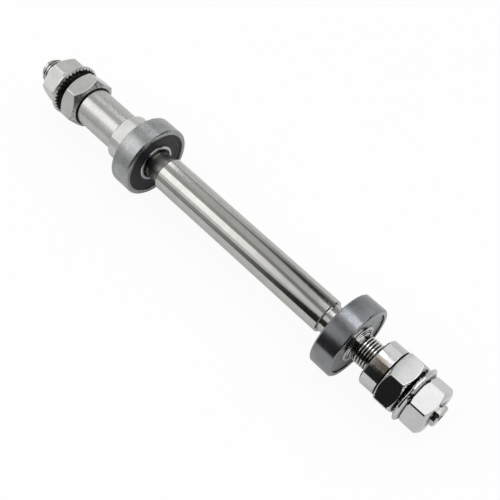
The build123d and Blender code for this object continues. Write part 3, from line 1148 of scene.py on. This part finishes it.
PANELS = [
    # lower edge, upper edge, reach, light level, tint
    ((3, 8), (28, 44), (-1.0, NEAR_END), (0.44, 0.0), NEUTRAL),
    ((28, 44), (47, 52), (-1.0, NEAR_END), (1.0, 0.8), NEUTRAL),
    ((47, 52), (84, 69), (-1.0, NEAR_END), (1.9, 1.0), NEUTRAL),
    ((84, 69), (106, 92), (-1.0, NEAR_END), (0.52, 0.28), NEUTRAL),
    ((106, 92), (145, 128), (-1.0, NEAR_END), (0.66, 0.66), NEUTRAL),
    ((145, 128), (161, 163), (-1.0, NEAR_END), (0.50, 0.0), NEUTRAL),
    ((161, 163), (180, 180), (-1.0, NEAR_END), (0.92, 0.32), NEUTRAL),
    ((0, 0), (26, 26), (-1.0, -0.53), (0.4, 0.4), NEUTRAL),
    ((84, 84), (94, 94), (-1.0, -0.50), (1.2, 1.2), NEUTRAL),
    ((122, 122), (152, 152), (-0.518, -0.488), (3.4, 3.4), NEUTRAL),
    ((5, 5), (43, 43), (NEAR_END, FAR_END), (0.06, 0.06), NEUTRAL),
    ((43, 43), (68, 68), (NEAR_END, FAR_END), (0.80, 0.80), NEUTRAL),
    ((68, 68), (92, 92), (NEAR_END, FAR_END), (0.85, 0.85), NEUTRAL),
    ((92, 92), (103, 103), (NEAR_END, FAR_END), (1.5, 1.5), NEUTRAL),
    ((103, 103), (125, 125), (NEAR_END, FAR_END), (4.6, 4.6), COOL),
    ((103, 103), (122, 122), (FAR_END, THREAD_END), (5.0, 5.0), NEUTRAL),
    ((125, 125), (138, 138), (NEAR_END, FAR_END), (1.8, 1.8), COOL),
    ((138, 138), (180, 180), (NEAR_END, FAR_END), (1.45, 1.45), NEUTRAL),
    ((53, 53), (86, 86), (FAR_END, -0.12), (0.11, 0.11), WARM),
    ((86, 86), (98, 98), (FAR_END, NUT_END), (0.55, 0.55), WARM),
    ((98, 98), (106, 106), (FAR_END, NUT_END), (0.85, 0.85), NEUTRAL),
    ((106, 106), (118, 118), (FAR_END, NUT_END), (1.3, 1.3), NEUTRAL),
    ((118, 118), (137, 137), (FAR_END, NUT_END), (0.8, 0.8), NEUTRAL),
    ((137, 137), (180, 180), (FAR_END, NUT_END), (1.05, 1.05), NEUTRAL),
    ((88, 88), (117, 117), (NUT_END, EDGE_START), (1.5, 1.5), NEUTRAL),
    ((117, 117), (180, 180), (NUT_END, EDGE_START), (1.25, 1.25), NEUTRAL),
    ((88, 88), (150, 150), (EDGE_START, EDGE_END), (2.6, 2.6), NEUTRAL),
    ((100, 100), (180, 180), (0.78, 1.0), (0.9, 0.9), NEUTRAL),
]


def crossing(tree, value, edge, softness):
    """A soft step from 0 to 1 as a value passes an edge."""
    reach = (edge - softness, edge + softness)
    return remap(tree, value, reach, interpolation_type="SMOOTHSTEP")


def past_edge(tree, angle, lengthwise, edge):
    """A soft step over a panel's slanting edge, given as its angles before and after."""
    slant = remap(tree, lengthwise, EDGE_TAPER, edge)
    return crossing(tree, arithmetic(tree, "SUBTRACT", angle, slant), 0, EDGE_SOFTNESS)


def light_studio():
    """The world: the panels to the metal, and plain white to the camera."""
    world = bpy.data.worlds.new("studio")
    scene.world = world
    world.use_nodes = True
    tree = world.node_tree
    direction = add(tree, "ShaderNodeTexCoord")
    parts = add(tree, "ShaderNodeSeparateXYZ")
    tree.links.new(direction.outputs["Generated"], parts.inputs["Vector"])
    turn = arithmetic(tree, "ARCTAN2", parts.outputs["Z"], parts.outputs["X"])
    angle = arithmetic(tree, "MULTIPLY", turn, math.degrees(1))
    lengthwise = parts.outputs["Y"]
    room = add(tree, "ShaderNodeRGB")
    room.outputs["Color"].default_value = (ROOM_GREY, ROOM_GREY, ROOM_GREY, 1)
    light = room.outputs["Color"]
    for lower, upper, (near, far), level, tint in PANELS:
        past_lower = past_edge(tree, angle, lengthwise, lower)
        past_upper = past_edge(tree, angle, lengthwise, upper)
        inside = arithmetic(tree, "SUBTRACT", past_lower, past_upper)
        past_near = crossing(tree, lengthwise, near, END_SOFTNESS)
        past_far = crossing(tree, lengthwise, far, END_SOFTNESS)
        along = arithmetic(tree, "SUBTRACT", past_near, past_far)
        share = arithmetic(tree, "MULTIPLY", inside, along)
        strength = arithmetic(tree, "MULTIPLY", share, remap(tree, lengthwise, LEVEL_TAPER, level))
        panel = add(tree, "ShaderNodeVectorMath", operation="SCALE")
        panel.inputs["Vector"].default_value = tint
        tree.links.new(strength, panel.inputs["Scale"])
        both = add(tree, "ShaderNodeVectorMath", operation="ADD")
        tree.links.new(light, both.inputs[0])
        tree.links.new(panel.outputs["Vector"], both.inputs[1])
        light = both.outputs["Vector"]
    path = add(tree, "ShaderNodeLightPath")
    view = add(tree, "ShaderNodeMix", data_type="VECTOR")
    tree.links.new(path.outputs["Is Camera Ray"], view.inputs["Factor"])
    tree.links.new(light, view.inputs["A"])
    view.inputs["B"].default_value = (1.0, 1.0, 1.0)
    tree.links.new(view.outputs["Result"], tree.nodes["Background"].inputs["Color"])


LAMP_SIZE = (0.5, 0.8)
LAMP_POWER = 1.3
LAMP_PLACE = Vector((0.25, 0.1, 0.7))


def hang_lamp():
    """A soft lamp above for the floor's shadow, which the metal doesn't mirror."""
    data = bpy.data.lights.new("key", "AREA")
    data.shape = "RECTANGLE"
    data.size, data.size_y = LAMP_SIZE
    data.energy = LAMP_POWER
    lamp = bpy.data.objects.new("key", data)
    lamp.location = LAMP_PLACE
    lamp.visible_glossy = False
    lamp.rotation_mode = "QUATERNION"
    lamp.rotation_quaternion = (-LAMP_PLACE).to_track_quat("-Z", "Y")
    scene.collection.objects.link(lamp)


# The photograph's camera, from a fit to the outlines of the bearings and the bar
CAMERA_LENS = 63.94
CAMERA_CLIP = 10 * MM
CAMERA_PLACE = Vector((66.87 * MM, 114.25 * MM, 252.07 * MM))
CAMERA_TARGET = Vector((0.72 * MM, 13.16 * MM, 0))
CAMERA_ROLL = math.radians(-12.1)


def set_camera():
    """The camera at the photograph's viewing angle."""
    data = bpy.data.cameras.new("camera")
    data.lens = CAMERA_LENS
    data.clip_start = CAMERA_CLIP
    camera = bpy.data.objects.new("camera", data)
    camera.location = CAMERA_PLACE
    camera.rotation_mode = "QUATERNION"
    aim = (CAMERA_TARGET - CAMERA_PLACE).to_track_quat("-Z", "Y")
    camera.rotation_quaternion = aim @ Quaternion((0, 0, 1), CAMERA_ROLL)
    scene.collection.objects.link(camera)
    scene.camera = camera


axle()
sleeve()
bearing_nut()
end_nut()
locknut("drive", DRIVE_OUT, DRIVE_LOCKNUT_RELIEF, nickel, cone_shade)
locknut("non_drive", OTHER_OUT, FACE_RELIEF, chrome, chrome)
track_nut("drive", DRIVE_OUT, nickel)
track_nut("non_drive", OTHER_OUT, chrome)
# The washers' gripping sides: black painted shade out to a radius
drive_grip = with_painted_shade("drive_grip", DRIVE_SHADE_REACH, DRIVE_SPECK_GREY, nickel)
other_grip = with_painted_shade("other_grip", OTHER_SHADE_REACH, OTHER_SPECK_GREY, chrome)
toothed_washer("drive", DRIVE_OUT, nickel, drive_grip, DRIVE_DARK_GAPS)
toothed_washer("non_drive", OTHER_OUT, washer_chrome, other_grip, OTHER_DARK_GAPS)
bearing("drive_bearing", "seal", DRIVE_OUT, ground, seal_rubber)
bearing("non_drive_bearing", "shield", OTHER_OUT, dark_ground, pressed)
lay_floor()
light_studio()
hang_lamp()
set_camera()
scene.view_settings.view_transform = "Standard"
